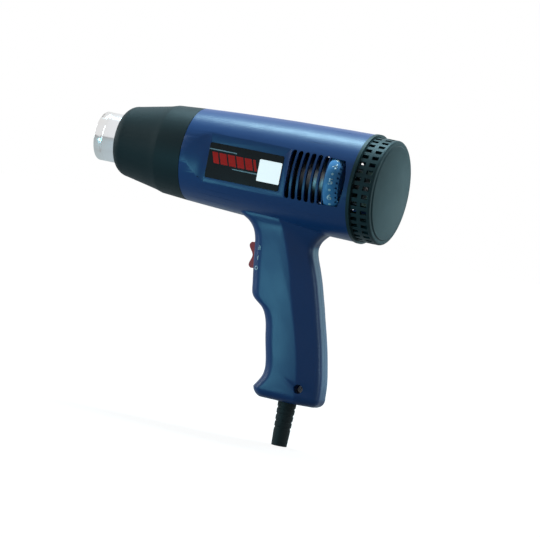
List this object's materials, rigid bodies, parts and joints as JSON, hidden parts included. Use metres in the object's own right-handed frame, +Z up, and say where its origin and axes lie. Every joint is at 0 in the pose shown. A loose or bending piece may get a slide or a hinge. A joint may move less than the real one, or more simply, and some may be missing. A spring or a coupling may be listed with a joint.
{
  "type": "hot-air gun",
  "caption": "Pistol-grip hot-air tool for embossing and shrinking: steel nozzle, heat-resistant shroud, blue clamshell, rocker switch, heat dial, slotted rear intake cap.",
  "frame": {"origin": "middle of the hand grip, where the palm closes round it, 115 mm below the barrel axis", "axes": "+Z up along the grip, -X towards the nozzle, the left side with the dial and label faces -Y"},
  "size_m": [0.2496, 0.0887, 0.2531],
  "materials": {
    "blue_shell": "glossy moulded plastic, fine texture",
    "black_heatproof": "satin glass-filled plastic",
    "black_cap": "satin moulded plastic",
    "polished_steel": "polished",
    "mica": "pale mica sheet",
    "ceramic": "unglazed ceramic",
    "resistance_wire": "drawn wire",
    "plated_steel": "zinc plated",
    "ground_steel": "ground",
    "dark_plastic": "satin",
    "black_plastic": "satin",
    "magnet": "dull grey",
    "bronze": "sintered",
    "copper": "turned",
    "carbon": "dull carbon",
    "red_plastic": "glossy",
    "blue_dial": "glossy",
    "board_green": "circuit board",
    "black_rubber": "soft moulded",
    "black_label": "smooth film"
  },
  "bodies": {
    "housing": {"housing_left": "blue_shell", "housing_right": "blue_shell", "front_shroud": "black_heatproof", "rear_cap": "black_cap", "nozzle_tube": "polished_steel", "mica_sleeve": "mica", "heater_former": "mica", "heater_base": "ceramic", "heater_coil": "resistance_wire", "thermal_cutout": "plated_steel", "fan_duct": "dark_plastic", "motor_end_bell": "dark_plastic", "motor_can": "plated_steel", "motor_magnets": "magnet", "motor_bearings": "bronze", "motor_brushes": "carbon", "motor_screws": "plated_steel", "switch_body": "black_plastic", "control_board": "board_green", "dial_potentiometer": "plated_steel", "cord_sleeve": "black_rubber", "cord_clamp": "dark_plastic", "cord_clamp_screws": "plated_steel", "housing_screws": "plated_steel", "label_plate": "black_label"},
    "rocker": {"switch_rocker": "red_plastic"},
    "dial": {"heat_dial": "blue_dial", "dial_shaft": "ground_steel"},
    "rotor": {"motor_shaft": "ground_steel", "motor_armature": "magnet", "commutator": "copper", "fan": "dark_plastic"}
  },
  "joints": [
    {"name": "rocker_tilt", "type": "hinge", "parent": "housing", "child": "rocker", "pos_m": [-0.03257, 0, 0.04768], "axis": [0, 1, 0], "range_deg": [-8, 8]},
    {"name": "dial_turn", "type": "hinge", "parent": "housing", "child": "dial", "pos_m": [0.029, -0.0216, 0.115], "axis": [1, 0, 0], "range_deg": [-130, 130]},
    {"name": "fan_spin", "type": "hinge", "parent": "housing", "child": "rotor", "pos_m": [-0.025, 0, 0.115], "axis": [1, 0, 0], "continuous": true}
  ]
}
